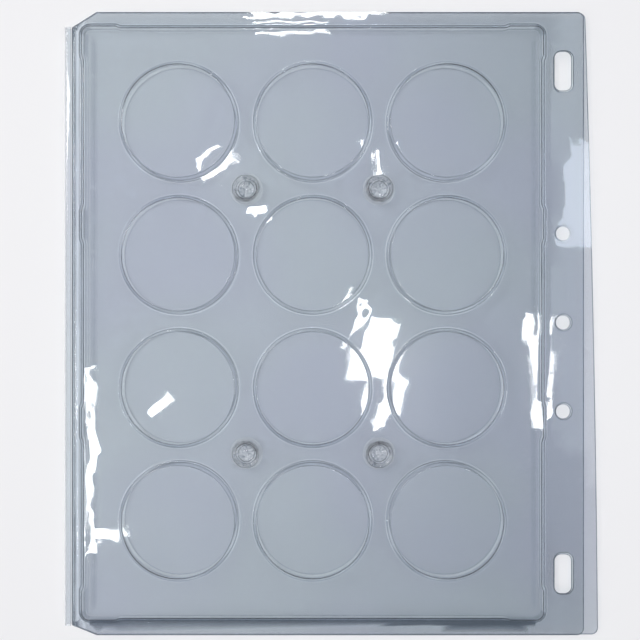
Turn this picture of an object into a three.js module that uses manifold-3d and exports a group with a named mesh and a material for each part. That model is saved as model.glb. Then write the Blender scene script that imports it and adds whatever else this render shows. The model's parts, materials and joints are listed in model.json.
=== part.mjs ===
// A clear album page for round coin capsules: a thermoformed clamshell whose two mirrored
// leaves fold on a hinge bead down the left edge. Each leaf has a flat flange, a raised pan
// with friction lugs in its wall, and twelve round wells raised from the pan. Closed, the
// facing wells hold one capsule each, four studs sit in four sockets, and the punched strip
// on the right goes into a ring binder.
//
// Millimetres. X runs from the hinge to the binder strip, Y up the page and Z out of the
// front leaf. The origin is under the middle of the closed page, on the surface it lies on.

import * as THREE from "three";
import { mergeVertices } from "three/addons/utils/BufferGeometryUtils.js";
import Module from "manifold-3d";

// The page and its sheet
const pageWidth = 240; // hinge bead to the foot of the back leaf's lip
const pageHeight = 280;
const sheet = 0.5;
const leafGap = 0.3; // between the two flanges when the page is closed
const fitGap = 0.3; // between pieces that meet edge to edge
const cornerRadius = 3;

// The back leaf reaches past the front leaf's right edge, and more so at the foot
const lipAtHead = 0.8;
const lipAtFoot = 6.6;
const lipBow = 0.9;

// The hinge bead, and the flange corners cut away beyond its ends
const beadDiameter = 3.2;
const beadShortAtHead = 7;
const beadShortAtFoot = 4.5;
const hingeCornerRun = 11;

// The capsules and the wells that hold them
const capsuleDiameter = 50;
const capsuleThickness = 6.5;
const capsuleHeadroom = 0.4;
const wellClearance = 0.3;
const wellDraft = 1.4; // how far a well's wall leans in, seen from above
const wellColumns = 3;
const wellRows = 4;
const wellPitchX = 60;
const wellPitchY = 59.7;
const wellGridRaise = 0.8; // the grid sits this much above the pan's middle

// The pan
const panRise = 1.7;
const panDraft = 1.6;
const panCornerRadius = 5;
const flangeAtHinge = 3.3;
const flangeAtHead = 5.2;
const flangeAtFoot = 5.6;
const binderStripWidth = 16.9;

// The friction lugs: where the pan's wall stands out, at its corners and twice on each long side
const lugDepth = 0.8;
const lugRamp = 1.5;
const midLugLength = 16;
const midLugOffset = 44.5;
const cornerLugOnSides = 16;
const cornerLugOnEnds = 18;

// The binder holes: three round ones, and a slot near each end
const punchFromEdge = 9.4;
const punchCentreY = 0.5;
const roundHoleRadius = 3.2;
const roundHolePitch = 40;
const roundHoleCount = 3;
const slotOffset = 113;
const slotWidth = 7.6;
const slotLength = 17.6;
const backPunchMargin = 0.5; // the back leaf is punched this much wider all round

// The snaps
const studRimRadius = 5.4;
const studMouthRadius = 4.9;
const studWaistRadius = 3.9;
const studBulbRadius = 4.1;
const studTipRadius = 3.5;
const studBulbHeight = 0.75; // from the stud's tip to its widest point
const studWaistHeight = 1.75;
const socketRimRadius = 7.2;
const socketClearance = 0.6;
const socketLipWidth = 0.6;
const collarLean = 0.6; // how much wider the socket's collar is at its foot than at its lip
const socketAboveFloor = 0.3; // keeps the socket clear of what the wells rest on

// How finely curves are faceted
const wellSides = 36;
const snapSides = 20;
const holeSides = 24;
const cornerSteps = 6;
const beadSteps = 14;

const flangeTop = leafGap / 2 + sheet;
const panTop = flangeTop + panRise;
const wellTop = (capsuleThickness + capsuleHeadroom) / 2 + sheet;
const closedHalfThickness = wellTop;

const beadLeft = -pageWidth / 2;
const creaseX = beadLeft + beadDiameter;
const pageHead = pageHeight / 2;
const pageFoot = -pageHeight / 2;
const frontEdgeX = pageWidth / 2 - lipAtFoot;

const pan = {
  left: creaseX + flangeAtHinge,
  right: frontEdgeX - binderStripWidth,
  head: pageHead - flangeAtHead,
  foot: pageFoot + flangeAtFoot,
};
const panCentre = new THREE.Vector2((pan.left + pan.right) / 2, (pan.head + pan.foot) / 2);

const wellTopRadius = capsuleDiameter / 2 + wellClearance;
const gridCentre = new THREE.Vector2(panCentre.x, panCentre.y + wellGridRaise);
const columnX = (column) => gridCentre.x + (column - (wellColumns - 1) / 2) * wellPitchX;
const rowY = (row) => gridCentre.y + ((wellRows - 1) / 2 - row) * wellPitchY;

const wasm = await Module();
wasm.setup();

const clearSheet = {
  front: new THREE.MeshStandardMaterial({ color: 0xb4c1cd, roughness: 0.08, metalness: 0 }),
  back: new THREE.MeshStandardMaterial({ color: 0xbcc4d8, roughness: 0.08, metalness: 0 }),
  hinge: new THREE.MeshStandardMaterial({ color: 0xaebcc6, roughness: 0.1, metalness: 0 }),
  stud: new THREE.MeshStandardMaterial({ color: 0xa6b5c1, roughness: 0.08, metalness: 0 }),
  socket: new THREE.MeshStandardMaterial({ color: 0xa3b0c4, roughness: 0.08, metalness: 0 }),
};

// Solids and meshes

function toSolid(geometry) {
  const bare = geometry.clone();
  bare.deleteAttribute("normal");
  bare.deleteAttribute("uv");
  const merged = mergeVertices(bare, 1e-4);
  return new wasm.Manifold(
    new wasm.Mesh({
      numProp: 3,
      vertProperties: new Float32Array(merged.attributes.position.array),
      triVerts: new Uint32Array(merged.index.array),
    }),
  );
}

function toGeometry(solid) {
  const mesh = solid.getMesh();
  const geometry = new THREE.BufferGeometry();
  geometry.setAttribute("position", new THREE.BufferAttribute(mesh.vertProperties, 3));
  geometry.setIndex(new THREE.BufferAttribute(mesh.triVerts, 1));
  geometry.computeVertexNormals();
  return geometry;
}

// A closed solid between two outlines that have the same number of points, one above the other.
function loft(lowOutline, lowZ, highOutline, highZ) {
  const count = lowOutline.length;
  const low = lowOutline.map((p) => [p.x, p.y, lowZ]);
  const high = highOutline.map((p) => [p.x, p.y, highZ]);
  const index = [];
  for (let i = 0; i < count; i++) {
    const next = (i + 1) % count;
    index.push(i, next, count + next, i, count + next, count + i);
  }
  for (const [a, b, c] of THREE.ShapeUtils.triangulateShape(lowOutline, [])) index.push(a, c, b);
  for (const [a, b, c] of THREE.ShapeUtils.triangulateShape(highOutline, [])) {
    index.push(count + a, count + b, count + c);
  }
  const geometry = new THREE.BufferGeometry();
  const positions = new Float32Array([...low, ...high].flat());
  geometry.setAttribute("position", new THREE.BufferAttribute(positions, 3));
  geometry.setIndex(index);
  return toSolid(geometry);
}

function extrudeUp(shape, lowZ, depth) {
  const settings = { depth, bevelEnabled: false, curveSegments: cornerSteps };
  return toSolid(new THREE.ExtrudeGeometry(shape, settings).translate(0, 0, lowZ));
}

function circleOutline(centre, radius, sides) {
  const points = [];
  for (let i = 0; i < sides; i++) {
    const angle = (i / sides) * 2 * Math.PI;
    points.push(
      new THREE.Vector2(
        centre.x + radius * Math.cos(angle),
        centre.y + radius * Math.sin(angle),
      ),
    );
  }
  return points;
}

// A raised form with leaning walls. outlineAt gives its outline drawn in by a distance, foot and
// top are the heights where its wall starts and ends, and draft is how far the wall leans in.
// The skin form is the outside; the hollow form is the same wall moved in by one sheet.
function raisedForm(outlineAt, foot, top, draft, hollow) {
  const rise = top - foot;
  const lean = draft / rise;
  const wallInset = hollow ? sheet * Math.hypot(1, lean) : 0;
  const highZ = hollow ? top - sheet : top;
  const overlap = sheet / 2;
  const lowZ = hollow ? foot - sheet - overlap : foot - overlap;
  const insetAt = (z) => (z - foot) * lean + wallInset;
  return loft(outlineAt(insetAt(lowZ)), lowZ, outlineAt(insetAt(highZ)), highZ);
}

// The pan's outline. The wall stands out at the corners and at the middle lugs, and
// steps back by lugDepth between them.

function lugSteps(halfLength, cornerLug, middleLugs) {
  const steps = [{ at: -halfLength + cornerLug, standsOut: false }];
  for (const centre of middleLugs) {
    steps.push({ at: centre - midLugLength / 2, standsOut: true });
    steps.push({ at: centre + midLugLength / 2, standsOut: false });
  }
  steps.push({ at: halfLength - cornerLug, standsOut: true });
  return steps;
}

function panOutline(inset) {
  const halfWidth = (pan.right - pan.left) / 2;
  const halfHeight = (pan.head - pan.foot) / 2;
  const sideSteps = lugSteps(halfHeight, cornerLugOnSides, [-midLugOffset, midLugOffset]);
  const endSteps = lugSteps(halfWidth, cornerLugOnEnds, []);
  const points = [];
  for (let wall = 0; wall < 4; wall++) {
    const onSide = wall % 2 === 0;
    const turn = (wall * Math.PI) / 2;
    const out = new THREE.Vector2(Math.cos(turn), Math.sin(turn));
    const along = new THREE.Vector2(-Math.sin(turn), Math.cos(turn));
    const reach = onSide ? halfWidth : halfHeight;
    const halfLength = onSide ? halfHeight : halfWidth;
    const place = (s, distance) =>
      points.push(panCentre.clone().addScaledVector(out, distance).addScaledVector(along, s));
    for (const step of onSide ? sideSteps : endSteps) {
      const before = step.standsOut ? lugDepth : 0;
      const after = step.standsOut ? 0 : lugDepth;
      place(step.at - lugRamp / 2, reach - inset - before);
      place(step.at + lugRamp / 2, reach - inset - after);
    }
    const radius = panCornerRadius - inset;
    for (let i = 0; i <= cornerSteps; i++) {
      const angle = ((i / cornerSteps) * Math.PI) / 2;
      place(
        halfLength - panCornerRadius + radius * Math.sin(angle),
        reach - panCornerRadius + radius * Math.cos(angle),
      );
    }
  }
  return points;
}

// The flange's outline: cut corners beyond the hinge bead, round corners at the binder strip.
// The right edge runs from headX to footX, and bows out by the bow in between.
function flangeShape(headX, footX, bow) {
  const hingeX = creaseX + fitGap / 2;
  const shape = new THREE.Shape();
  shape.moveTo(hingeX, pageHead - beadShortAtHead);
  shape.lineTo(hingeX, pageFoot + beadShortAtFoot);
  shape.lineTo(hingeX + hingeCornerRun, pageFoot);
  shape.lineTo(footX - cornerRadius, pageFoot);
  shape.absarc(footX - cornerRadius, pageFoot + cornerRadius, cornerRadius, -Math.PI / 2, 0);
  shape.quadraticCurveTo(
    (headX + footX) / 2 + 2 * bow,
    0,
    headX,
    pageHead - cornerRadius,
  );
  shape.absarc(headX - cornerRadius, pageHead - cornerRadius, cornerRadius, 0, Math.PI / 2);
  shape.lineTo(hingeX + hingeCornerRun, pageHead);
  shape.closePath();
  return shape;
}

// The binder holes through one leaf, made wider all round by a margin.
function punches(margin) {
  const x = frontEdgeX - punchFromEdge + margin;
  const low = -sheet;
  const high = flangeTop + sheet;
  const cuts = [];
  for (let i = 0; i < roundHoleCount; i++) {
    const y = punchCentreY + (i - (roundHoleCount - 1) / 2) * roundHolePitch;
    const outline = circleOutline({ x, y }, roundHoleRadius + margin, holeSides);
    cuts.push(loft(outline, low, outline, high));
  }
  for (const side of [-1, 1]) {
    const y = punchCentreY + side * slotOffset;
    const radius = slotWidth / 2 + margin;
    const straight = slotLength / 2 + margin - radius;
    const slot = new THREE.Shape();
    slot.absarc(x, y + straight, radius, 0, Math.PI);
    slot.absarc(x, y - straight, radius, Math.PI, 2 * Math.PI);
    slot.closePath();
    cuts.push(extrudeUp(slot, low, high - low));
  }
  return cuts;
}

const wells = [];
for (let row = 0; row < wellRows; row++) {
  for (let column = 0; column < wellColumns; column++) {
    wells.push(new THREE.Vector2(columnX(column), rowY(row)));
  }
}

// A snap lies between four wells: between each two columns, and between rows 1 and 2, 3 and 4.
const snaps = [];
for (let row = 0; row + 1 < wellRows; row += 2) {
  for (let column = 0; column + 1 < wellColumns; column++) {
    snaps.push(
      new THREE.Vector2(
        (columnX(column) + columnX(column + 1)) / 2,
        (rowY(row) + rowY(row + 1)) / 2,
      ),
    );
  }
}

// One leaf, lying with its wells up and its flange half the leaf gap above the page's middle.
// It comes in two pieces: the rim is the flange with the pan's wall, and the floor is the rest
// of the pan with the wells. They part on flat sheet, just inside the wall.
function leafSolids(outline, punchMargin, snapRimRadius) {
  const wellAt = (centre) => (inset) =>
    circleOutline(centre, wellTopRadius + wellDraft - inset, wellSides);
  let skin = extrudeUp(outline, leafGap / 2, sheet);
  skin = skin.add(raisedForm(panOutline, flangeTop, panTop, panDraft, false));
  let hollow = raisedForm(panOutline, flangeTop, panTop, panDraft, true);
  for (const centre of wells) {
    skin = skin.add(raisedForm(wellAt(centre), panTop, wellTop, wellDraft, false));
    hollow = hollow.add(raisedForm(wellAt(centre), panTop, wellTop, wellDraft, true));
  }
  let leaf = skin.subtract(hollow);
  for (const cut of punches(punchMargin)) leaf = leaf.subtract(cut);
  for (const centre of snaps) {
    const hole = circleOutline(centre, snapRimRadius + fitGap, snapSides);
    leaf = leaf.subtract(loft(hole, leafGap / 2, hole, wellTop));
  }
  const inside = (inset) =>
    loft(panOutline(inset), leafGap / 2 - sheet, panOutline(inset), wellTop + sheet);
  const seam = panDraft + sheet;
  return { rim: leaf.subtract(inside(seam)), floor: leaf.intersect(inside(seam + fitGap)) };
}

// A piece turned about the Z axis from its radius and height points.
function turned(profile, sides) {
  const points = profile.map(([radius, height]) => new THREE.Vector2(radius, height));
  return new THREE.LatheGeometry(points, sides).rotateX(Math.PI / 2);
}

// The stud is a cup sunk from the front pan, with a bulb just above its tip. The socket is a
// collar raised from the back pan around a cup that is sunk past it.
const socketFloor = -wellTop + socketAboveFloor + sheet;
const studTip = socketFloor + fitGap;
const studProfile = [
  [0, studTip],
  [studTipRadius, studTip],
  [studBulbRadius, studTip + studBulbHeight],
  [studWaistRadius, studTip + studWaistHeight],
  [studMouthRadius, panTop - sheet],
  [studRimRadius, panTop - sheet],
  [studRimRadius, panTop],
  [studMouthRadius - sheet / 2, panTop],
  [studWaistRadius - sheet, studTip + studWaistHeight],
  [studBulbRadius - sheet, studTip + studBulbHeight],
  [studTipRadius - sheet, studTip + sheet],
  [0, studTip + sheet],
];

const socketLip = panTop - sheet - fitGap - leafGap;
const socketLipRadius = studMouthRadius + socketClearance;
const socketThroatRadius = studBulbRadius + socketClearance;
const socketFloorRadius = studTipRadius + socketClearance;
const collarRadius = socketLipRadius + socketLipWidth;
const socketProfile = [
  [0, socketFloor - sheet],
  [socketFloorRadius + sheet, socketFloor - sheet],
  [socketThroatRadius + sheet, -panTop],
  [socketRimRadius, -panTop],
  [socketRimRadius, -panTop + sheet],
  [collarRadius + collarLean, -panTop + sheet],
  [collarRadius, socketLip],
  [socketLipRadius, socketLip],
  [socketThroatRadius, studTip + studWaistHeight],
  [socketThroatRadius, studTip + studBulbHeight],
  [socketFloorRadius, socketFloor],
  [0, socketFloor],
];

// The bead's section: a round of sheet, open on the right, whose two ends meet the flanges.
function beadShape() {
  const outer = beadDiameter / 2;
  const inner = outer - sheet;
  const centreX = beadLeft + outer;
  const endX = creaseX - fitGap / 2;
  const outerAngle = Math.asin(flangeTop / outer);
  const innerAngle = Math.asin(leafGap / 2 / inner);
  const shape = new THREE.Shape();
  shape.moveTo(endX, flangeTop);
  shape.absarc(centreX, 0, outer, outerAngle, 2 * Math.PI - outerAngle, false);
  shape.lineTo(endX, -flangeTop);
  shape.lineTo(endX, -leafGap / 2);
  shape.absarc(centreX, 0, inner, 2 * Math.PI - innerAngle, innerAngle, true);
  shape.lineTo(endX, leafGap / 2);
  shape.closePath();
  return shape;
}

function beadGeometry() {
  const length = pageHeight - beadShortAtHead - beadShortAtFoot;
  const settings = { depth: length, bevelEnabled: false, curveSegments: beadSteps };
  const geometry = new THREE.ExtrudeGeometry(beadShape(), settings);
  return geometry.rotateX(Math.PI / 2).translate(0, pageHead - beadShortAtHead, 0);
}

// The assembly, with the page's middle plane at z = 0 inside the group

const page = new THREE.Group();
page.position.z = closedHalfThickness;

function place(name, geometry, material, x = 0, y = 0) {
  const mesh = new THREE.Mesh(geometry, material);
  mesh.name = name;
  mesh.position.set(x, y, 0);
  page.add(mesh);
  return mesh;
}

const frontOutline = flangeShape(frontEdgeX, frontEdgeX, 0);
const backOutline = flangeShape(frontEdgeX + lipAtHead, frontEdgeX + lipAtFoot, lipBow);
const frontLeaf = leafSolids(frontOutline, 0, studRimRadius);
const backLeaf = leafSolids(backOutline, backPunchMargin, socketRimRadius);
place("front_rim", toGeometry(frontLeaf.rim), clearSheet.front);
place("front_pan", toGeometry(frontLeaf.floor), clearSheet.front);
for (const [name, solid] of [["back_rim", backLeaf.rim], ["back_pan", backLeaf.floor]]) {
  place(name, toGeometry(solid), clearSheet.back).scale.z = -1;
}

place("hinge_bead", beadGeometry(), clearSheet.hinge);

snaps.forEach((centre, i) => {
  const stud = turned(studProfile, snapSides);
  const socket = turned(socketProfile, snapSides);
  place(`front_snap_stud_${i + 1}`, stud, clearSheet.stud, centre.x, centre.y);
  place(`back_snap_socket_${i + 1}`, socket, clearSheet.socket, centre.x, centre.y);
});

export default page;
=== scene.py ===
import json
import math
import bpy
import bmesh
from mathutils import Matrix, Vector, noise


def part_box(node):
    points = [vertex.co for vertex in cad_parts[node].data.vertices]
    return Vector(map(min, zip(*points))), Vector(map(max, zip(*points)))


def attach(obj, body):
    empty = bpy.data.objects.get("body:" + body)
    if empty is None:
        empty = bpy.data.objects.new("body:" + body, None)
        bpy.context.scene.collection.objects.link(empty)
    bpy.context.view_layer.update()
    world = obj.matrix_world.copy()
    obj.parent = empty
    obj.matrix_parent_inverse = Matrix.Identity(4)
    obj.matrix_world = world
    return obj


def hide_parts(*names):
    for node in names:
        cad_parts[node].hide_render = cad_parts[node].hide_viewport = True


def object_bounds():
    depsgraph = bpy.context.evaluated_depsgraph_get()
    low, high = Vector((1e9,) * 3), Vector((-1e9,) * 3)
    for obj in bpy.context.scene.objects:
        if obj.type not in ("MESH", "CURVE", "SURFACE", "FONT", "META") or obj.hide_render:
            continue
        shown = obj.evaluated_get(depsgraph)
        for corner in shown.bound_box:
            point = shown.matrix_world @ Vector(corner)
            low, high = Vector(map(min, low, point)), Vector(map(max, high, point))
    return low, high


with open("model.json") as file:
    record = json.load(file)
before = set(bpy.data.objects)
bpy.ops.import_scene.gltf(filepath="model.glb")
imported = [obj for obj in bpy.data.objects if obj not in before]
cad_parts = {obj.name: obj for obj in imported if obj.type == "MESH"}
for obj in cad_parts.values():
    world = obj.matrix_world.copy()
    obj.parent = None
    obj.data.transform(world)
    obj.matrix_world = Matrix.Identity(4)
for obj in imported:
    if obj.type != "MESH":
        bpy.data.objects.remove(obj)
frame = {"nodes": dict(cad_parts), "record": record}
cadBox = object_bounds()
scene = bpy.context.scene
scene.view_settings.view_transform = "Standard"
mm = 0.001

# camera, straight above the page as in the photo
camera = {
    "over": (-5.2, 1.6),  # mm, the point in the middle of the picture
    "level": 4.6,  # mm, the top of the closed flanges
    "height": 360,  # mm above that level
    "across": 287.6,  # mm that the picture's width takes in there
    "sensor": 36,
}


def placeCamera():
    data = bpy.data.cameras.new("photoCamera")
    data.sensor_width = camera["sensor"]
    data.lens = camera["sensor"] * camera["height"] / camera["across"]
    obj = bpy.data.objects.new("photoCamera", data)
    scene.collection.objects.link(obj)
    obj.location = Vector((*camera["over"], camera["level"] + camera["height"])) * mm
    scene.camera = obj


placeCamera()
print("camera placed")

# floor and lights
floor = {"size": 6.0, "drop": 0.3, "colour": (0.87, 0.87, 0.868), "roughness": 0.9, "specular": 0.1}
world = {
    # a dim room, lit from over the page's head and left: stops along the direction of the light
    "towards": (-0.49, 0.10, 0.85),
    "stops": ((-0.2, (0.27, 0.272, 0.285)), (0.4, (0.23, 0.233, 0.25)), (0.60, (0.36, 0.363, 0.39)),
              (0.97, (1.26, 1.27, 1.33))),
    "backdrop": (0.871, 0.871, 0.871),
}
lamps = {
    # at, aim and size in metres, power in watts; a lamp with a turn, in degrees, faces straight down
    "leftSoftbox": {"at": (-0.64, 0.34, 0.98), "aim": (0, 0, 0), "size": (0.30, 0.30), "power": 3.05,
                    "colour": (1, 0.965, 0.92)},
    "rightSoftbox": {"at": (0.75, -0.1, 1.2), "aim": (0, 0, 0), "size": (0.34, 0.34), "power": 1.6,
                     "colour": (1, 0.965, 0.92)},
    "stripPanel": {"at": (0.478, 0.206, 1.0), "turn": -10, "size": (0.14, 0.187), "power": 0.46,
                   "colour": (0.80, 0.87, 1)},
}
# small lamps that the page mirrors as white marks: (x, y, width, length) in metres, turn in degrees
mirrored = {
    "middleMark": (0.070, -0.036, 0.044, 0.088, -12),
    "middleTail": (0.083, -0.108, 0.018, 0.070, -14),
    "middleWisp": (0.046, 0.006, 0.005, 0.050, -24),
    "leftMark": (-0.323, -0.190, 0.009, 0.260, 0),
    "footLeftMark": (-0.302, -0.294, 0.036, 0.013, -6),
    "rightMark": (0.292, -0.066, 0.012, 0.160, 3),
    "stripMark": (0.312, -0.068, 0.005, 0.150, -3),
    "headMark": (-0.014, 0.424, 0.200, 0.008, 3),
    "headPanMark": (-0.048, 0.400, 0.100, 0.006, 1),
    "wellMark": (-0.142, 0.212, 0.050, 0.009, 40),
    "snapMark": (-0.097, 0.157, 0.028, 0.012, 8),
    "smallMark": (0.074, 0.220, 0.006, 0.036, 4),
    "slantMark": (-0.224, -0.122, 0.054, 0.018, 40),
}
markHeight = 0.75  # metres
markPower = 70  # watts per square metre
for markName, (x, y, width, length, turn) in mirrored.items():
    lamps[markName] = {"at": (x, y, markHeight), "turn": turn, "size": (width, length),
                       "power": markPower * width * length, "colour": (1, 1, 1)}


def addLamp(name, lamp):
    data = bpy.data.lights.new(name, "AREA")
    data.shape = "RECTANGLE"
    data.size, data.size_y = lamp["size"]
    data.energy = lamp["power"]
    data.color = lamp["colour"]
    obj = bpy.data.objects.new(name, data)
    obj.visible_transmission = False
    scene.collection.objects.link(obj)
    at = Vector(lamp["at"])
    if "turn" in lamp:
        turn = Matrix.Rotation(math.radians(lamp["turn"]), 4, "Z")
    else:
        turn = (Vector(lamp["aim"]) - at).to_track_quat("-Z", "Y").to_matrix().to_4x4()
    obj.matrix_world = Matrix.Translation(at) @ turn


def addFloor():
    bm = bmesh.new()
    bmesh.ops.create_grid(bm, x_segments=2, y_segments=2, size=floor["size"] / 2)
    bmesh.ops.translate(bm, verts=bm.verts, vec=(0, 0, -floor["drop"] * mm))
    mesh = bpy.data.meshes.new("floor")
    bm.to_mesh(mesh)
    bm.free()
    obj = bpy.data.objects.new("floor", mesh)
    scene.collection.objects.link(obj)
    paper = bpy.data.materials.new("palePaper")
    paper.use_nodes = True
    shader = paper.node_tree.nodes["Principled BSDF"]
    shader.inputs["Base Color"].default_value = (*floor["colour"], 1)
    shader.inputs["Roughness"].default_value = floor["roughness"]
    shader.inputs["Specular IOR Level"].default_value = floor["specular"]
    mesh.materials.append(paper)


def lightWorld():
    sky = bpy.data.worlds.new("softRoom")
    sky.use_nodes = True
    nodes, links = sky.node_tree.nodes, sky.node_tree.links
    background = nodes["Background"]
    coords = nodes.new("ShaderNodeTexCoord")
    along = nodes.new("ShaderNodeVectorMath")
    along.operation = "DOT_PRODUCT"
    along.inputs[1].default_value = Vector(world["towards"]).normalized()
    links.new(coords.outputs["Generated"], along.inputs[0])
    ramp = nodes.new("ShaderNodeValToRGB")
    ramp.color_ramp.interpolation = "EASE"
    for i, (position, colour) in enumerate(world["stops"]):
        stops = ramp.color_ramp.elements
        stop = stops[i] if i < 2 else stops.new((position + 1) / 2)
        stop.position, stop.color = (position + 1) / 2, (*colour, 1)
    fit = nodes.new("ShaderNodeMapRange")
    fit.inputs["From Min"].default_value = -1
    links.new(along.outputs["Value"], fit.inputs["Value"])
    links.new(fit.outputs["Result"], ramp.inputs["Fac"])
    path = nodes.new("ShaderNodeLightPath")
    seen = nodes.new("ShaderNodeMix")
    seen.data_type = "RGBA"
    links.new(path.outputs["Is Camera Ray"], seen.inputs["Factor"])
    links.new(ramp.outputs["Color"], seen.inputs["A"])
    seen.inputs["B"].default_value = (*world["backdrop"], 1)
    links.new(seen.outputs["Result"], background.inputs["Color"])
    scene.world = sky


addFloor()
lightWorld()
for lampName, lamp in lamps.items():
    addLamp(lampName, lamp)
print("floor and lights placed")


# what the frame says, in mm
def boxOf(node):
    low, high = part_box(node)
    return low / mm, high / mm


studNames = sorted(name for name in frame["nodes"] if name.startswith("front_snap_stud"))
socketNames = sorted(name for name in frame["nodes"] if name.startswith("back_snap_socket"))
midZ = (cadBox[0].z + cadBox[1].z) / 2 / mm
openings = {o["name"]: o["box_m"] for o in frame["record"]["physics"]["openings"]}


def middleOf(opening):
    low, high = openings[opening]
    return (low[0] + high[0]) / 2 / mm, (low[1] + high[1]) / 2 / mm


wellCentres = [middleOf(name) for name in openings if name.startswith("well_")]
holeCentres = [middleOf(name) for name in openings if name.startswith("binder_hole")]
slotCentres = [middleOf(name) for name in openings if name.startswith("binder_slot")]
snapCentres = [((a.x + b.x) / 2, (a.y + b.y) / 2) for a, b in map(boxOf, studNames)]

# mm
sheetThickness = 0.5
leafGap = 0.3
snapGap = 0.05
near = 0.01  # closer than this counts as the same place
merged = 0.001
cutMargin = 0.0001

# the sheet isn't quite flat: both leaves wander up and down together
wave = {
    "height": 0.10,
    "long": (62, 78), "longShare": 0.75,  # mm
    "short": (24, 30), "shortShare": 0.45,
    "seed": (3.1, 7.7),
}


def waveAt(x, y):
    longX, longY = wave["long"]
    shortX, shortY = wave["short"]
    slow = noise.noise(Vector((x / longX, y / longY, wave["seed"][0])))
    quick = noise.noise(Vector((x / shortX, y / shortY, wave["seed"][1])))
    return wave["height"] * max(-1, min(1, slow * wave["longShare"] + quick * wave["shortShare"]))


lineRules = {
    "cutOver": 75,  # degrees: a sharper angle than this is a cut edge
    "bendOver": 5, "bendSpan": 6,  # degrees: where a bend's painted dark line starts, and how soon it is fully dark
    "flatUnder": 0.05, "besideOver": 0.3,  # a flat vertex beside a bend this strong gets a painted highlight
    "snapEdge": 8,  # mm: inside this the sheet runs on into the cups of the snaps
}


def markLines(bm, paintedShadeAt):
    # painted shade and highlights: bends get painted dark lines with painted highlight lines beside them,
    # and cut edges get painted dark lines
    line = bm.verts.layers.float.new("line")
    cut = bm.verts.layers.float.new("cut")
    angles = {e: math.degrees(e.calc_face_angle(0)) for e in bm.edges}
    for vert in bm.verts:
        if any(math.hypot(vert.co.x - x, vert.co.y - y) < lineRules["snapEdge"] for x, y in snapCentres):
            continue
        around = [angles[e] for e in vert.link_edges]
        vert[cut] = 1 if max(around) > lineRules["cutOver"] else 0
        bent = max(0, max(around) - lineRules["bendOver"])
        vert[line] = 0 if vert[cut] else min(1, bent / lineRules["bendSpan"])
    flat = [vert for vert in bm.verts if vert[line] < lineRules["flatUnder"]]
    lit = [vert for vert in flat
           if any(e.other_vert(vert)[line] > lineRules["besideOver"] for e in vert.link_edges)]
    for vert in lit:
        vert[line] = -1
    # the painted shade and highlights of set areas and bands go over these lines
    for vert in bm.verts:
        shade = paintedShadeAt(vert.co)
        if shade:
            vert[line] = shade


def finishMesh(name, bm, sharpAngle=38, paintedShadeAt=None):
    if paintedShadeAt:
        markLines(bm, paintedShadeAt)
    for vert in bm.verts:
        vert.co.z += waveAt(vert.co.x, vert.co.y)
    bmesh.ops.scale(bm, vec=(mm, mm, mm), verts=bm.verts)
    for face in bm.faces:
        face.smooth = True
    mesh = bpy.data.meshes.new(name)
    bm.to_mesh(mesh)
    bm.free()
    mesh.set_sharp_from_angle(angle=math.radians(sharpAngle))
    obj = bpy.data.objects.new(name, mesh)
    scene.collection.objects.link(obj)
    return obj


def absorb(bm, part, at=(0, 0, 0)):
    scratch = bpy.data.meshes.new("scratch")
    part.to_mesh(scratch)
    first = len(bm.verts)
    bm.from_mesh(scratch)
    bpy.data.meshes.remove(scratch)
    bm.verts.ensure_lookup_table()
    bmesh.ops.translate(bm, verts=bm.verts[first:], vec=at)


def roundedFace(bm, corners, z, steps):
    # corners are (x, y, radius); those with a radius are rounded
    verts = [bm.verts.new((x, y, z)) for x, y, radius in corners]
    bm.faces.new(verts)
    for vert, (x, y, radius) in zip(verts, corners):
        if radius:
            bmesh.ops.bevel(bm, geom=[vert], offset=radius, offset_type="OFFSET", segments=steps,
                            profile=0.5, affect="VERTICES", material=-1, clamp_overlap=False)
    bm.faces.ensure_lookup_table()
    return bm.faces[0]


def stepIn(bm, face, thickness, depth=0):
    bmesh.ops.inset_region(bm, faces=[face], thickness=thickness, depth=depth, use_even_offset=True,
                           use_boundary=True)


wallShares = (0.27, 0.4, 0.33)  # a wall's rings: its middle stays clear between the painted dark lines at its two bends


def raiseForm(bm, face, form):
    # rings that hold the flat, a leaning wall with both its edges rounded, and rings inside
    line = form["line"]
    stepIn(bm, face, form["hold"] - line)
    stepIn(bm, face, line)
    foot = list(face.edges)
    for share in wallShares:
        stepIn(bm, face, form["draft"] * share, form["rise"] * share)
    top = list(face.edges)
    for ring in [line, form["hold"] - line, *form["rings"]]:
        stepIn(bm, face, ring)
    slope = math.atan2(form["rise"], form["draft"])
    for edges, radius in ((foot, form["footRound"]), (top, form["topRound"])):
        bmesh.ops.bevel(bm, geom=edges, offset=radius * math.tan(slope / 2), offset_type="OFFSET",
                        segments=form["roundSteps"], profile=0.5, affect="EDGES", material=-1,
                        clamp_overlap=False, loop_slide=True)
    return face


# the two leaves, in mm
leaf = {
    "flangeTop": leafGap / 2 + sheetThickness,
    "flangeCorner": 3,
    "cutCorner": (11, 7, 4.5),  # along the end, down from the head, up from the foot
    "lipBow": 0.9,
    "lipAtHead": 0.8,
    "lipSteps": (0.15, 0.3, 0.45, 0.6, 0.75, 0.9),
    "panInside": 2.4,  # the pan node starts this far inside the foot of the pan's wall
    "punchMargin": 0.5,  # the back leaf is punched this much wider all round
    "holeRadius": 3.2,
    "slotSize": (7.6, 17.6), "slotCorner": 3.0,
    "roundSteps": {"flange": 6, "pan": 8, "slot": 12, "hole": 48, "snap": 64},
    "snapRadius": {"front": 5.4, "back": 7.2},
    "cell": 7,  # the flats are cut up this fine, so that they can wander
    "cutRim": 0.4,  # the band along every cut edge
    "ridge": {"x": -115.45, "width": 1.5, "height": 0.28, "cuts": 8},  # the worked line beside the crease
}
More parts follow.
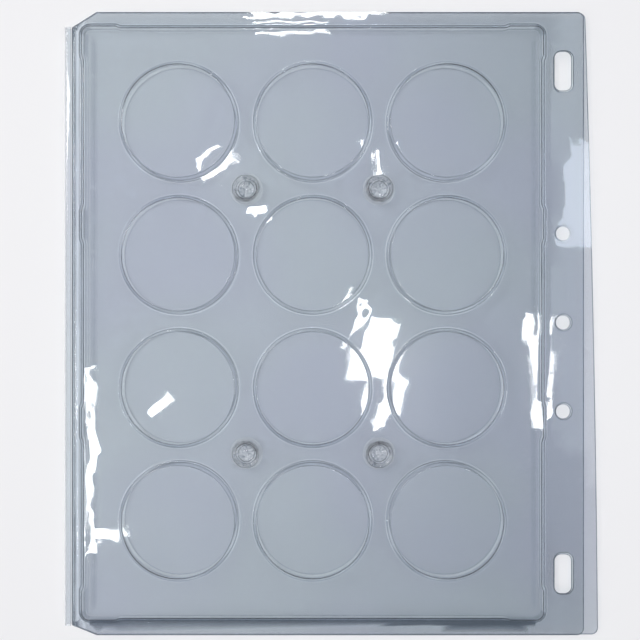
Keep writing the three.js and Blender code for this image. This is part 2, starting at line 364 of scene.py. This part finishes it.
# in pan and well, line is how far from each bend the ring lies that carries its painted highlight line
pan = {"rise": 1.7, "draft": 1.6, "corner": 5, "hold": 0.7, "line": 0.35, "rings": [],
       "footRound": 0.3, "topRound": 0.6, "roundSteps": 4}
lug = {"depth": 0.8, "ramp": 1.5, "length": 16, "offset": 44.5, "onSides": 16, "onEnds": 18, "round": 0.8}
# areas of painted shade and painted highlight: (x from, x to, y from, y to) and how dark the painted shade
# is or, below zero, how light; the first is a painted shadow along the pan's foot wall, the others are
# painted lighter strips along the crease ridge, the binder strip and the lip
paintedShadeAreas = [(-108.7, 91.7, -135.8, -133, 1), (-116.2, -114.8, -134, 132, -0.5),
          (-114.8, -113.7, -134, 132, -1), (98.5, 113.2, -60, 140, -0.28), (113.6, 121, -70, 140, -0.38)]
# painted shadow bands, soft and upright, on the pan beside its side walls, a painted highlight where below
# zero: (x, how dark)
paintedBands = [(-111.2, 0.45), (-110.1, 0.45), (-109.5, -0.3), (-108.5, 0), (-107.3, 0.32), (-106.2, 0.32),
         (-105.2, 0), (89.6, 0), (90.5, 0.25), (91.3, 0.25), (91.9, 0)]
bandReach = 131  # mm to head and foot
well = {"rise": 1.6, "draft": 1.4, "topRadius": 25.3, "sides": 96, "hold": 0.8, "line": 0.35,
        "rings": [4, 5, 5, 5], "footRound": 0.25, "topRound": 0.5, "roundSteps": 4, "crown": 0.2}


def panCorners(low, high, grow):
    # the foot of the pan's wall, moved out by grow: it stands out at its corners and lugs
    middle = (low + high) / 2
    half = (high - low) / 2
    corners = []
    for wall in range(4):
        onSide = wall % 2 == 0
        turn = Matrix.Rotation(wall * math.pi / 2, 2)
        reach, length = (half.x, half.y) if onSide else (half.y, half.x)
        lugCentres = (-lug["offset"], lug["offset"]) if onSide else ()
        cornerLug = lug["onSides"] if onSide else lug["onEnds"]
        steps = [(-length + cornerLug, False)]
        for centre in lugCentres:
            steps += [(centre - lug["length"] / 2, True), (centre + lug["length"] / 2, False)]
        steps.append((length - cornerLug, True))
        for at, standsOut in steps:
            before, after = (lug["depth"], 0) if standsOut else (0, lug["depth"])
            for along, sunk in ((at - lug["ramp"] / 2, before), (at + lug["ramp"] / 2, after)):
                x, y = middle.xy + turn @ Vector((reach + grow - sunk, along))
                corners.append((x, y, lug["round"]))
        x, y = middle.xy + turn @ Vector((reach + grow, length + grow))
        corners.append((x, y, pan["corner"] + grow))
    return corners


def flangeCorners(rimNode):
    low, high = boxOf(rimNode)
    run, downFromHead, upFromFoot = leaf["cutCorner"]
    radius = leaf["flangeCorner"]
    corners = [(low.x, high.y - downFromHead, 0), (low.x, low.y + upFromFoot, 0), (low.x + run, low.y, 0),
               (high.x, low.y, radius)]
    if rimNode == "back_rim":  # its right edge bows from its foot to its head
        headX = boxOf("front_rim")[1].x + leaf["lipAtHead"]
        middleX = (headX + high.x) / 2 + leaf["lipBow"]
        pulled = 2 * middleX - (headX + high.x) / 2
        for t in leaf["lipSteps"]:
            x = (1 - t) ** 2 * high.x + 2 * t * (1 - t) * pulled + t * t * headX
            corners.append((min(x, high.x), low.y + t * (high.y - low.y), 0))
        corners.append((headX, high.y, radius))
    else:
        corners.append((high.x, high.y, radius))
    corners.append((low.x + run, high.y, 0))
    return corners


def addOutline(bm, part):
    # keeps only the outline of a part's face
    bmesh.ops.delete(part, geom=part.faces[:], context="FACES_ONLY")
    absorb(bm, part)
    part.free()


def openEdgesAt(bm, z):
    return [e for e in bm.edges if len(e.link_faces) < 2 and all(abs(v.co.z - z) < near for v in e.verts)]


def cutAcross(bm, geom, axis, at):
    point, normal = [0, 0, 0], [0, 0, 0]
    point[axis] = at
    normal[axis] = 1
    return bmesh.ops.bisect_plane(bm, geom=geom, dist=cutMargin, plane_co=point, plane_no=normal)["geom"]


def allOf(faces):
    return list({*faces, *(e for f in faces for e in f.edges), *(v for f in faces for v in f.verts)})


def cutIntoCells(bm, faces):
    low, high = boxOf("back_rim")
    geom = allOf(faces)
    for axis, start, end in ((0, low.x, high.x), (1, low.y, high.y)):
        count = int((end - start) / leaf["cell"])
        for i in range(1, count):
            geom = cutAcross(bm, geom, axis, start + (end - start) * i / count)
    return geom


def raiseRidge(bm, geom, flat):
    ridge = leaf["ridge"]
    for i in range(ridge["cuts"] + 1):
        geom = cutAcross(bm, geom, 0, ridge["x"] + ridge["width"] * (i / ridge["cuts"] - 0.5))
    for vert in bm.verts:
        off = (vert.co.x - ridge["x"]) / ridge["width"]
        if abs(off) < 0.5 and abs(vert.co.z - flat) < near:
            vert.co.z += ridge["height"] * math.cos(math.pi * off) ** 2


def crownWells(bm, floorTop):
    for x, y in wellCentres:
        for vert in bm.verts:
            reach = Vector((vert.co.x - x, vert.co.y - y)).length
            if vert.co.z > floorTop and reach < well["topRadius"] + well["draft"]:
                rim = min(1, (vert.co.z - floorTop) / well["rise"])
                vert.co.z -= well["crown"] * rim * min(1, reach / well["topRadius"]) ** 2


# the painted shade and highlights of the leaves, by area and by band
def paintedShadeOfLeaf(co):
    for left, right, foot, head, shade in paintedShadeAreas:
        if left < co.x < right and foot < co.y < head:
            return shade
    for x, shade in paintedBands:
        if abs(co.x - x) < near and abs(co.y) < bandReach:
            return shade
    return 0


def buildLeaf(name, rimNode, panNode, snapRadius, punchMargin, side):
    bm = bmesh.new()
    flangeTop, panTop = leaf["flangeTop"], leaf["flangeTop"] + pan["rise"]
    steps = leaf["roundSteps"]

    part = bmesh.new()
    roundedFace(part, flangeCorners(rimNode), flangeTop, steps["flange"])
    addOutline(bm, part)

    low, high = boxOf(panNode)
    inside = Vector((leaf["panInside"],) * 3)
    part = bmesh.new()
    corners = panCorners(low - inside, high + inside, pan["hold"])
    face = roundedFace(part, corners, flangeTop, steps["pan"])
    face = raiseForm(part, face, pan)
    bmesh.ops.delete(part, geom=[face], context="FACES_ONLY")
    absorb(bm, part)
    part.free()

    part = bmesh.new()
    footRadius = well["topRadius"] + well["draft"]
    bmesh.ops.create_circle(part, cap_ends=True, radius=footRadius + well["hold"], segments=well["sides"])
    part.faces.ensure_lookup_table()
    raiseForm(part, part.faces[0], well)
    for x, y in wellCentres:
        absorb(bm, part, (x, y, panTop))
    part.free()

    part = bmesh.new()
    bmesh.ops.create_circle(part, cap_ends=False, radius=snapRadius + snapGap, segments=steps["snap"])
    for x, y in snapCentres:
        absorb(bm, part, (x, y, panTop))
    part.free()

    part = bmesh.new()
    bmesh.ops.create_circle(part, cap_ends=False, radius=leaf["holeRadius"] + punchMargin,
                            segments=steps["hole"])
    for x, y in holeCentres:
        absorb(bm, part, (x + punchMargin, y, flangeTop))
    part.free()

    width, length = (size / 2 + punchMargin for size in leaf["slotSize"])
    for x, y in slotCentres:
        part = bmesh.new()
        x += punchMargin
        corner = leaf["slotCorner"] + punchMargin
        square = [(x - width, y - length, corner), (x + width, y - length, corner),
                  (x + width, y + length, corner), (x - width, y + length, corner)]
        roundedFace(part, square, flangeTop, steps["slot"])
        addOutline(bm, part)
    bmesh.ops.remove_doubles(bm, verts=bm.verts, dist=merged)

    flats = []
    for z in (flangeTop, panTop):
        filled = bmesh.ops.triangle_fill(bm, use_beauty=True, edges=openEdgesAt(bm, z), normal=(0, 0, 1))
        flats += [item for item in filled["geom"] if isinstance(item, bmesh.types.BMFace)]
    rim = bmesh.ops.inset_region(bm, faces=bm.faces[:], thickness=leaf["cutRim"], use_even_offset=True,
                                 use_boundary=True)
    geom = cutIntoCells(bm, flats + rim["faces"])
    for x, shade in paintedBands:
        geom = cutAcross(bm, geom, 0, x)
    raiseRidge(bm, geom, flangeTop)
    crownWells(bm, panTop + near)

    bmesh.ops.recalc_face_normals(bm, faces=bm.faces)
    if sum(f.normal.z * f.calc_area() for f in bm.faces) < 0:
        bmesh.ops.reverse_faces(bm, faces=bm.faces)
    bmesh.ops.scale(bm, vec=(1, 1, 1 - wave["height"] / (panTop + well["rise"])), verts=bm.verts)
    bmesh.ops.solidify(bm, geom=bm.faces[:], thickness=sheetThickness)
    if side < 0:
        bmesh.ops.scale(bm, vec=(1, 1, -1), verts=bm.verts)
        bmesh.ops.reverse_faces(bm, faces=bm.faces)
    bmesh.ops.translate(bm, verts=bm.verts, vec=(0, 0, midZ))
    return finishMesh(name, bm, paintedShadeAt=paintedShadeOfLeaf)


frontSheet = buildLeaf("front_formed_sheet", "front_rim", "front_pan", leaf["snapRadius"]["front"], 0, 1)
backSheet = buildLeaf("back_formed_sheet", "back_rim", "back_pan", leaf["snapRadius"]["back"],
                      leaf["punchMargin"], -1)
print("leaves formed:", len(frontSheet.data.polygons), len(backSheet.data.polygons))


# the hinge bead: a round of sheet, open towards the leaves
bead = {"sheet": 0.4, "arcSteps": 28, "cell": 6}


def buildBead():
    low, high = boxOf("hinge_bead")
    lift = wave["height"]
    outer = (high.z - low.z) / 2 - lift
    middle = (high.z + low.z) / 2 - midZ
    centre = Vector((low.x + outer, low.y, middle))
    bm = bmesh.new()
    lip = bm.verts.new((high.x, low.y, middle + outer))
    top = bm.verts.new((centre.x, low.y, middle + outer))
    bm.edges.new((lip, top))
    bmesh.ops.spin(bm, geom=[top], cent=centre, axis=(0, -1, 0), angle=math.pi, steps=bead["arcSteps"])
    bm.verts.ensure_lookup_table()
    last = min(bm.verts, key=lambda v: (v.co.z, -v.co.x))
    end = bm.verts.new((high.x, low.y, last.co.z))
    bm.edges.new((last, end))
    swept = bmesh.ops.extrude_edge_only(bm, edges=bm.edges[:])
    moved = [item for item in swept["geom"] if isinstance(item, bmesh.types.BMVert)]
    bmesh.ops.translate(bm, verts=moved, vec=(0, high.y - low.y, 0))
    geom = bm.verts[:] + bm.edges[:] + bm.faces[:]
    count = int((high.y - low.y) / bead["cell"])
    for i in range(1, count):
        geom = cutAcross(bm, geom, 1, low.y + (high.y - low.y) * i / count)
    bmesh.ops.recalc_face_normals(bm, faces=bm.faces)
    if sum(f.normal.dot(f.calc_center_median() - centre) * f.calc_area() for f in bm.faces) < 0:
        bmesh.ops.reverse_faces(bm, faces=bm.faces)
    bmesh.ops.solidify(bm, geom=bm.faces[:], thickness=bead["sheet"])
    bmesh.ops.translate(bm, verts=bm.verts, vec=(0, 0, midZ))
    return finishMesh("hinge_bead_roll", bm)


# the snaps: (radius, height from the middle plane, rounding) from the rim to the centre
stud = {
    "profile": [(5.4, 2.23, 0), (4.8, 2.23, 0.35), (3.5, -1.1, 0.5), (3.65, -2.0, 0.3), (3.05, -2.32, 0.3),
                (1.5, -2.32, 0.4), (1.1, -2.05, 0.3), (0, -2.05, 0)],
    "sheet": 0.4, "turnSteps": 64, "roundSteps": 3,
    "lobes": 4, "lobeDepth": 0.08, "lobesBelow": 0.4, "lobesOver": 1.2,
    # the last three: how far out, how light and how broken the painted highlights and painted shade inside
    # the cup are
    "shadeInside": 5.2, "shade": -0.45, "glintAndShadeSpread": 3.0,
}
socket = {
    "profile": [(7.2, -1.85, 0), (6.7, -1.85, 0.2), (6.1, 1.2, 0.22), (5.5, 1.2, 0.22), (4.7, -1.1, 0.4),
                (4.7, -2.1, 0.3), (4.1, -3.1, 0.3), (1.8, -3.1, 0.4), (1.4, -2.95, 0.3), (0, -2.95, 0)],
    "sheet": 0.25, "turnSteps": 64, "roundSteps": 3,
    "lobes": 4, "lobeDepth": 0.05, "lobesBelow": -0.6, "lobesOver": 1.2,
    # the last three: how far out, how light and how broken the painted highlights and painted shade inside
    # the cup are
    "shadeInside": 6.4, "shade": -0.45, "glintAndShadeSpread": 2.2,
}
glintAndShadeScale = 1.3  # per mm


def buildSnap(name, node, snap):
    low, high = boxOf(node)
    bm = bmesh.new()
    verts = [bm.verts.new((radius, 0, z)) for radius, z, rounding in snap["profile"]]
    for before, after in zip(verts, verts[1:]):
        bm.edges.new((before, after))
    bmesh.ops.spin(bm, geom=bm.verts[:] + bm.edges[:], cent=(0, 0, 0), axis=(0, 0, 1), angle=math.tau,
                   steps=snap["turnSteps"], use_merge=True)
    bmesh.ops.remove_doubles(bm, verts=bm.verts, dist=merged)
    for radius, z, rounding in snap["profile"]:
        if rounding:
            loop = [e for e in bm.edges
                    if all(abs(v.co.xy.length - radius) < near and abs(v.co.z - z) < near for v in e.verts)]
            bmesh.ops.bevel(bm, geom=loop, offset=rounding, offset_type="OFFSET", profile=0.5,
                            segments=snap["roundSteps"], affect="EDGES", material=-1, clamp_overlap=True,
                            loop_slide=True)
    for vert in bm.verts:  # the tip is pressed into four lobes
        deep = min(1, max(0, (snap["lobesBelow"] - vert.co.z) / snap["lobesOver"]))
        around = math.atan2(vert.co.y, vert.co.x) * snap["lobes"]
        radius = vert.co.xy.length
        if radius > 0.5:
            grow = 1 + deep * snap["lobeDepth"] * (math.cos(around) - 1) / radius
            vert.co.x *= grow
            vert.co.y *= grow
    bmesh.ops.recalc_face_normals(bm, faces=bm.faces)
    if sum(f.normal.z * f.calc_area() for f in bm.faces) < 0:
        bmesh.ops.reverse_faces(bm, faces=bm.faces)
    bmesh.ops.solidify(bm, geom=bm.faces[:], thickness=snap["sheet"])
    # painted highlights and painted shade: broken light and dark marks inside the cup
    line = bm.verts.layers.float.new("line")
    offset = Vector(((low.x + high.x) / 2, (low.y + high.y) / 2, midZ))
    for vert in bm.verts:
        if vert.co.xy.length < snap["shadeInside"]:
            glintAndShade = snap["glintAndShadeSpread"] * noise.noise((vert.co + offset) * glintAndShadeScale)
            vert[line] = max(-1, min(1, snap["shade"] + glintAndShade))
    bmesh.ops.translate(bm, verts=bm.verts, vec=offset)
    return finishMesh(name, bm)


beadRoll = buildBead()
studs = [buildSnap(name + "_cup", name, stud) for name in studNames]
sockets = [buildSnap(name + "_cup", name, socket) for name in socketNames]
print("bead and snaps formed:", len(beadRoll.data.polygons), len(studs[0].data.polygons),
      len(sockets[0].data.polygons))

# PET sheet
petSheet = {
    "ior": 1.57, "snapIor": 1.25,
    # colours of the painted shade lines and painted highlight lines, for the sheets and for the snaps
    "paintedShadeLine": (0.14, 0.19, 0.25), "paintedHighlightLine": (0.88, 0.91, 0.94),
    "snapPaintedShade": (0.30, 0.37, 0.43), "snapPaintedHighlight": (1, 1, 1),
    "frontTints": ((0.728, 0.764, 0.776), (0.724, 0.752, 0.781)),
    "backTints": ((0.629, 0.660, 0.703), (0.625, 0.648, 0.708)),
    "hingeTints": ((0.79, 0.82, 0.84), (0.80, 0.82, 0.85)),
    "studTints": ((0.80, 0.83, 0.85), (0.80, 0.82, 0.85)),
    "socketTints": ((0.70, 0.73, 0.76), (0.70, 0.72, 0.76)),
    "shadowFlat": (0.85, 0.86, 0.87), "shadowSteep": (0.12, 0.14, 0.17), "steepRange": (0.25, 0.95),
}
# how the sheet wanders and wears: noise scale per mm, detail, and height in mm
relief = {"warp": (0.022, 1.5, 0.18), "dents": (0.1, 1, 0.055), "peel": (0.7, 2, 0.001)}
hair = {"turn": 0.35, "stretch": (0.05, 3.2, 0.05), "detail": 2, "range": (0.68, 0.74), "roughness": 0.05}
cloud = {"scale": 0.03, "detail": 3, "range": (0.35, 0.7), "roughness": (0.015, 0.045)}
patches = {"scale": 0.012, "detail": 1, "range": (0.4, 0.6)}
# how far marked vertices go towards the colours of the painted shade lines and painted highlight lines
lineShares = {"dark": 0.6, "light": 0.7, "cut": 0.9}


def newGroup(name, inputs, outputs):
    group = bpy.data.node_groups.new(name, "ShaderNodeTree")
    for label, kind in inputs:
        group.interface.new_socket(label, in_out="INPUT", socket_type=kind)
    for label, kind in outputs:
        group.interface.new_socket(label, in_out="OUTPUT", socket_type=kind)
    return group, group.nodes.new("NodeGroupInput"), group.nodes.new("NodeGroupOutput")


def addNoise(group, vector, scale, detail, roughness=0.5):
    texture = group.nodes.new("ShaderNodeTexNoise")
    texture.inputs["Scale"].default_value = scale
    texture.inputs["Detail"].default_value = detail
    texture.inputs["Roughness"].default_value = roughness
    group.links.new(vector, texture.inputs["Vector"])
    return texture.outputs["Fac"]


def addMap(group, value, fromLow, fromHigh, toLow, toHigh):
    mapping = group.nodes.new("ShaderNodeMapRange")
    mapping.inputs["From Min"].default_value = fromLow
    mapping.inputs["From Max"].default_value = fromHigh
    mapping.inputs["To Min"].default_value = toLow
    mapping.inputs["To Max"].default_value = toHigh
    group.links.new(value, mapping.inputs["Value"])
    return mapping.outputs["Result"]


def addMix(group, factor, first, second):
    mix = group.nodes.new("ShaderNodeMix")
    mix.data_type = "RGBA"
    group.links.new(factor, mix.inputs["Factor"])
    group.links.new(first, mix.inputs["A"])
    group.links.new(second, mix.inputs["B"])
    return mix.outputs["Result"]


def addBump(group, height, distance, normal=None):
    bump = group.nodes.new("ShaderNodeBump")
    bump.inputs["Strength"].default_value = 1
    bump.inputs["Distance"].default_value = distance * mm
    group.links.new(height, bump.inputs["Height"])
    if normal:
        group.links.new(normal, bump.inputs["Normal"])
    return bump.outputs["Normal"]


def makeSheetGroup():
    # warp, orange peel and hair scratches of formed sheet, and its tint with painted shade and highlight
    # lines; the coordinates are in mm
    group, inputs, outputs = newGroup(
        "formedSheet",
        [("Coordinates", "NodeSocketVector"), ("Tint A", "NodeSocketColor"), ("Tint B", "NodeSocketColor"),
         ("Line", "NodeSocketFloat"), ("Cut", "NodeSocketFloat"), ("Painted Shade Line", "NodeSocketColor"),
         ("Painted Highlight Line", "NodeSocketColor")],
        [("Normal", "NodeSocketVector"), ("Roughness", "NodeSocketFloat"), ("Tint", "NodeSocketColor")])
    at = inputs.outputs["Coordinates"]
    stretch = group.nodes.new("ShaderNodeMapping")
    stretch.inputs["Rotation"].default_value = (0, 0, hair["turn"])
    stretch.inputs["Scale"].default_value = hair["stretch"]
    group.links.new(at, stretch.inputs["Vector"])
    hairs = addNoise(group, stretch.outputs["Vector"], 1, hair["detail"])
    normal = None
    for scale, detail, height in relief.values():
        normal = addBump(group, addNoise(group, at, scale, detail), height, normal)
    group.links.new(normal, outputs.inputs["Normal"])
    clouds = addNoise(group, at, cloud["scale"], cloud["detail"])
    rough = group.nodes.new("ShaderNodeMath")
    rough.operation = "MULTIPLY_ADD"
    group.links.new(addMap(group, hairs, *hair["range"], 0, 1), rough.inputs[0])
    rough.inputs[1].default_value = hair["roughness"]
    group.links.new(addMap(group, clouds, *cloud["range"], *cloud["roughness"]), rough.inputs[2])
    group.links.new(rough.outputs["Value"], outputs.inputs["Roughness"])
    patch = addMap(group, addNoise(group, at, patches["scale"], patches["detail"]), *patches["range"], 0, 1)
    tint = addMix(group, patch, inputs.outputs["Tint A"], inputs.outputs["Tint B"])
    # painted shade and highlights: bends and cut edges get darker lines painted into the tint, with lighter
    # painted highlight lines beside the bends
    lines = group.nodes.new("ShaderNodeMath")
    lines.operation = "MAXIMUM"
    group.links.new(addMap(group, inputs.outputs["Line"], 0.1, 1, 0, lineShares["dark"]), lines.inputs[0])
    group.links.new(addMap(group, inputs.outputs["Cut"], 0, 0.5, 0, lineShares["cut"]), lines.inputs[1])
    glow = addMap(group, inputs.outputs["Line"], 0, -1, 0, lineShares["light"])
    lit = addMix(group, glow, tint, inputs.outputs["Painted Highlight Line"])
    lined = addMix(group, lines.outputs["Value"], lit, inputs.outputs["Painted Shade Line"])
    group.links.new(lined, outputs.inputs["Tint"])
    return group


sheetGroup = makeSheetGroup()


def makeSheetMaterial(name, tints, ior=petSheet["ior"], dark=petSheet["paintedShadeLine"],
                      light=petSheet["paintedHighlightLine"]):
    material = bpy.data.materials.new(name)
    material.use_nodes = True
    nodes, links = material.node_tree.nodes, material.node_tree.links
    shader, output = nodes["Principled BSDF"], nodes["Material Output"]
    coords = nodes.new("ShaderNodeTexCoord")
    inMm = nodes.new("ShaderNodeMapping")
    inMm.inputs["Scale"].default_value = (1 / mm,) * 3
    links.new(coords.outputs["Object"], inMm.inputs["Vector"])
    sheet = nodes.new("ShaderNodeGroup")
    sheet.node_tree = sheetGroup
    links.new(inMm.outputs["Vector"], sheet.inputs["Coordinates"])
    colours = (*tints, dark, light)
    for label, colour in zip(("Tint A", "Tint B", "Painted Shade Line", "Painted Highlight Line"), colours):
        sheet.inputs[label].default_value = (*colour, 1)
    for label in ("Line", "Cut"):
        mask = nodes.new("ShaderNodeAttribute")
        mask.attribute_name = label.lower()
        links.new(mask.outputs["Fac"], sheet.inputs[label])
    links.new(sheet.outputs["Normal"], shader.inputs["Normal"])
    links.new(sheet.outputs["Roughness"], shader.inputs["Roughness"])
    links.new(sheet.outputs["Tint"], shader.inputs["Base Color"])
    shader.inputs["Metallic"].default_value = 0
    shader.inputs["Transmission Weight"].default_value = 1
    shader.inputs["IOR"].default_value = ior
    # lamps shine through, less so where the sheet is steep to them
    weight = nodes.new("ShaderNodeLayerWeight")
    weight.inputs["Blend"].default_value = 0.5
    steep = nodes.new("ShaderNodeMapRange")
    for label, value in zip(("From Min", "From Max"), petSheet["steepRange"]):
        steep.inputs[label].default_value = value
    links.new(weight.outputs["Facing"], steep.inputs["Value"])
    shade = nodes.new("ShaderNodeMix")
    shade.data_type = "RGBA"
    links.new(steep.outputs["Result"], shade.inputs["Factor"])
    shade.inputs["A"].default_value = (*petSheet["shadowFlat"], 1)
    shade.inputs["B"].default_value = (*petSheet["shadowSteep"], 1)
    clear = nodes.new("ShaderNodeBsdfTransparent")
    links.new(shade.outputs["Result"], clear.inputs["Color"])
    path = nodes.new("ShaderNodeLightPath")
    choose = nodes.new("ShaderNodeMixShader")
    links.new(path.outputs["Is Shadow Ray"], choose.inputs["Fac"])
    links.new(shader.outputs["BSDF"], choose.inputs[1])
    links.new(clear.outputs["BSDF"], choose.inputs[2])
    links.new(choose.outputs["Shader"], output.inputs["Surface"])
    return material


frontPet = makeSheetMaterial("frontPet", petSheet["frontTints"])
backPet = makeSheetMaterial("backPet", petSheet["backTints"])
hingePet = makeSheetMaterial("hingePet", petSheet["hingeTints"])
snapLook = petSheet["snapIor"], petSheet["snapPaintedShade"], petSheet["snapPaintedHighlight"]
studPet = makeSheetMaterial("studPet", petSheet["studTints"], *snapLook)
socketPet = makeSheetMaterial("socketPet", petSheet["socketTints"], *snapLook)

pieces = [
    (frontSheet, "front_leaf", "front_sheet", frontPet, ("front_rim", "front_pan")),
    (backSheet, "back_leaf", "back_sheet", backPet, ("back_rim", "back_pan")),
    (beadRoll, "hinge_bead", "hinge_sheet", hingePet, ("hinge_bead",)),
]
pieces += [(obj, "front_leaf", "stud_sheet", studPet, (node,)) for obj, node in zip(studs, studNames)]
pieces += [(obj, "back_leaf", "socket_sheet", socketPet, (node,))
           for obj, node in zip(sockets, socketNames)]
for piece, body, slot, material, nodes in pieces:
    piece.data.materials.append(material)
    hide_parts(*nodes)
    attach(piece, body)
print("materials set")
